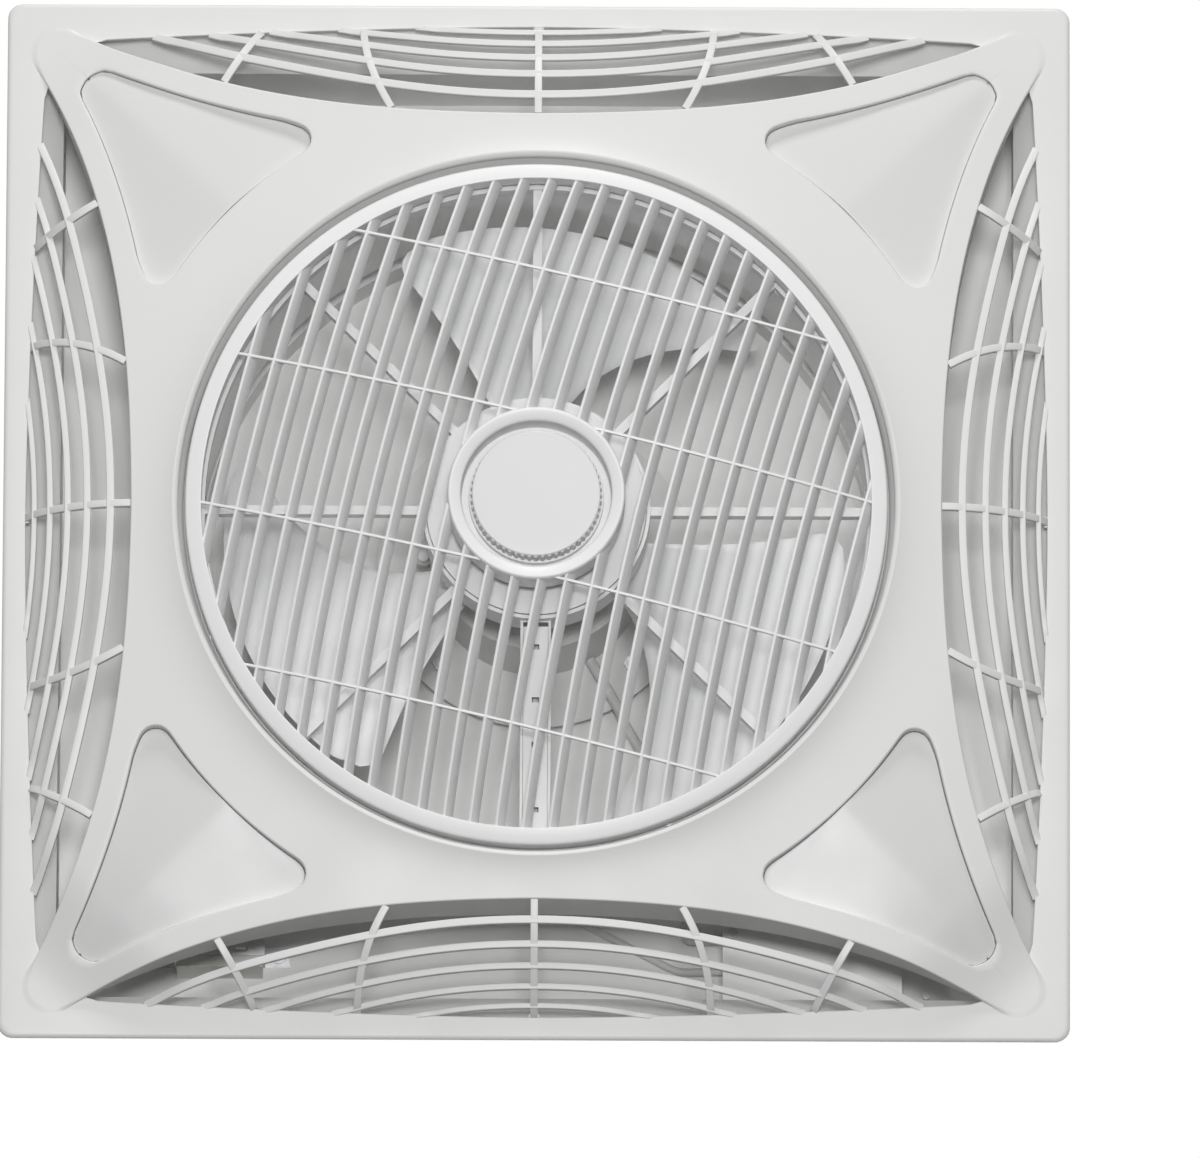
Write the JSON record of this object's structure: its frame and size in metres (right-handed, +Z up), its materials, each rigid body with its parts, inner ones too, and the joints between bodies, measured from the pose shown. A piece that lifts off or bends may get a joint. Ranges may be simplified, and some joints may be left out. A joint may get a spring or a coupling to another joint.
{
  "type": "drop ceiling fan",
  "caption": "Square lay-in ceiling fan with side air intakes, a shrouded axial fan and a slowly turning round louver",
  "frame": {"origin": "centre of the panel, in the plane of the flange's room-side face, where it rests on the ceiling grid", "axes": "+Z up along the fan's axis to the slab above, so the louver faces -Z into the room; X and Y along the panel's sides, with the supply cable's inlet on the +Y side"},
  "size_m": [0.595, 0.595, 0.194],
  "materials": {
    "panel_plastic": "white moulded plastic with a soft gloss",
    "cover_plastic": "slightly greyer white plastic, satin",
    "duct_plastic": "white plastic, satin",
    "louver_plastic": "bright white plastic, glossy",
    "blade_plastic": "milky white plastic, slightly translucent",
    "housing_paint": "white powder coat on steel sheet",
    "zinc_steel": "zinc plated",
    "bearing_steel": "ground steel",
    "motor_metal": "die cast, satin",
    "lamination": "stacked steel sheet",
    "winding_copper": "varnished copper wire",
    "mount_rubber": "matt black rubber",
    "cable_sheath": "matt sheath",
    "gland_plastic": "black nylon",
    "electrical_plastic": "ivory plastic",
    "board_laminate": "green circuit board"
  },
  "bodies": {
    "housing": {"front_panel": "panel_plastic", "side_grille_xp": "panel_plastic", "side_grille_yn": "panel_plastic", "side_grille_xn": "panel_plastic", "side_grille_yp": "panel_plastic", "corner_cover_xp_yn": "cover_plastic", "corner_cover_xn_yn": "cover_plastic", "corner_cover_xn_yp": "cover_plastic", "corner_cover_xp_yp": "cover_plastic", "panel_screws": "zinc_steel", "air_duct": "duct_plastic", "duct_screws": "zinc_steel", "spider_frame": "duct_plastic", "spider_screws": "zinc_steel", "hub_cover": "duct_plastic", "channel_cover": "duct_plastic", "louver_motor": "motor_metal", "louver_motor_screws": "zinc_steel", "louver_lead": "cable_sheath", "motor_bearings": "bearing_steel", "stator_core": "lamination", "stator_windings": "winding_copper", "motor_case_front": "motor_metal", "motor_case_rear": "motor_metal", "case_screws": "zinc_steel", "motor_screws": "zinc_steel", "motor_plate": "zinc_steel", "rubber_mounts": "mount_rubber", "mount_bolts": "zinc_steel", "mount_nuts": "zinc_steel", "motor_lead": "cable_sheath", "rear_housing": "housing_paint", "suspension_brackets": "zinc_steel", "bracket_screws": "zinc_steel", "capacitor": "electrical_plastic", "capacitor_strap": "zinc_steel", "strap_screws": "zinc_steel", "control_box": "duct_plastic", "control_box_lid": "duct_plastic", "lid_screws": "zinc_steel", "control_board": "board_laminate", "terminal_block": "electrical_plastic", "cable_gland": "gland_plastic", "gland_nut": "gland_plastic"},
    "impeller": {"fan_impeller": "blade_plastic", "impeller_nut": "zinc_steel", "motor_shaft": "zinc_steel", "rotor_core": "lamination"},
    "louver": {"louver_grille": "louver_plastic", "hub_knob": "louver_plastic", "louver_shaft": "zinc_steel"}
  },
  "joints": [
    {"name": "impeller_spin", "type": "hinge", "parent": "housing", "child": "impeller", "pos_m": [0, 0, 0.05], "axis": [0, 0, 1], "continuous": true},
    {"name": "louver_spin", "type": "hinge", "parent": "housing", "child": "louver", "pos_m": [0, 0, -0.04], "axis": [0, 0, 1], "continuous": true}
  ]
}
